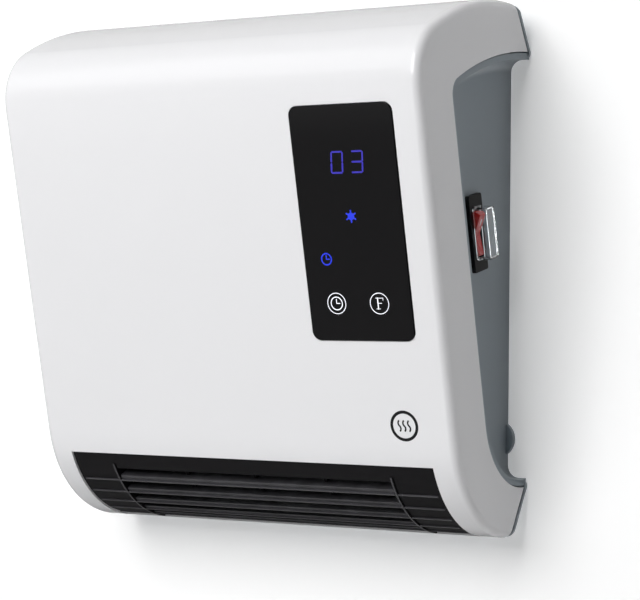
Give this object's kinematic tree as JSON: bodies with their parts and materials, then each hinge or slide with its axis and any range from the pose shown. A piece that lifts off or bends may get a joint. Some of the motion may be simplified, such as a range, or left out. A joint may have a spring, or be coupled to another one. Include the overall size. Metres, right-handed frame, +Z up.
{
  "type": "wall fan heater",
  "caption": "Wall-hung bathroom fan heater: white wrap-round shell, grey rear casing, touch window, covered rocker switch, curved outlet grille, cross-flow blower and ceramic element.",
  "frame": {"origin": "the centre of the wall bracket's back face, where it lies on the wall", "axes": "+X to the right seen from the room, +Y into the wall, +Z up"},
  "size_m": [0.244, 0.1135, 0.2618],
  "materials": {
    "shell_white": "gloss",
    "casing_grey": "satin",
    "grille_black": "satin",
    "window_black": "gloss",
    "switch_black": "satin",
    "rocker_red": "gloss",
    "cover_clear": "gloss",
    "brass": "satin",
    "steel": "satin",
    "zinc_plate": "satin",
    "copper_wire": "satin",
    "aluminium": "satin",
    "board_green": "satin",
    "heat_plastic": "matte",
    "duct_plastic": "matte",
    "fan_plastic": "satin",
    "rubber": "matte",
    "tape": "matte",
    "led_blue": "gloss",
    "nylon_white": "satin",
    "capacitor_yellow": "satin",
    "relay_blue": "satin",
    "wire_white": "satin",
    "wire_red": "satin"
  },
  "bodies": {
    "casing": {"front_shell": "shell_white", "rear_casing": "casing_grey", "outlet_grille": "grille_black", "touch_window": "window_black", "window_tape": "tape", "display_board": "board_green", "display_screw_1": "steel", "display_screw_2": "steel", "display_screw_3": "steel", "display_screw_4": "steel", "digit_display": "switch_black", "fan_indicator": "led_blue", "timer_indicator": "led_blue", "timer_touch_spring": "steel", "function_touch_spring": "steel", "display_connector": "nylon_white", "switch_housing": "switch_black", "switch_cover": "cover_clear", "switch_terminal_1": "brass", "switch_terminal_2": "brass", "blower_housing": "duct_plastic", "blower_front_guide": "duct_plastic", "bearing_bush": "brass", "bearing_rubber": "rubber", "motor_stator": "steel", "motor_coil": "copper_wire", "motor_inner_bridge": "zinc_plate", "motor_outer_bridge": "zinc_plate", "motor_screw_1": "steel", "motor_screw_2": "steel", "blower_screw_1": "steel", "blower_screw_2": "steel", "heating_element": "aluminium", "element_holder_left": "heat_plastic", "element_holder_right": "heat_plastic", "thermal_cutout": "heat_plastic", "control_board": "board_green", "board_screw_1": "steel", "board_screw_2": "steel", "board_screw_3": "steel", "board_screw_4": "steel", "relay_low_heat": "relay_blue", "relay_high_heat": "relay_blue", "mains_capacitor": "capacitor_yellow", "terminal_block": "nylon_white", "display_socket": "nylon_white", "buzzer": "switch_black", "display_cable": "wire_white", "cutout_lead": "wire_red", "wall_bracket": "zinc_plate", "cord_gland": "rubber", "case_screw_lower_right": "steel", "case_screw_lower_left": "steel", "case_screw_upper_right": "steel", "case_screw_upper_left": "steel"},
    "fan": {"impeller": "fan_plastic", "impeller_pin": "steel", "motor_shaft": "steel", "motor_rotor": "aluminium"},
    "rocker": {"switch_rocker": "rocker_red"}
  },
  "joints": [
    {"name": "fan_spin", "type": "hinge", "parent": "casing", "child": "fan", "pos_m": [0, -0.046, -0.086], "axis": [1, 0, 0], "continuous": true},
    {"name": "rocker_tilt", "type": "hinge", "parent": "casing", "child": "rocker", "pos_m": [0.1095, -0.03783, -0.04351], "axis": [0, -0.9744, -0.225], "range_deg": [0, 18]}
  ]
}
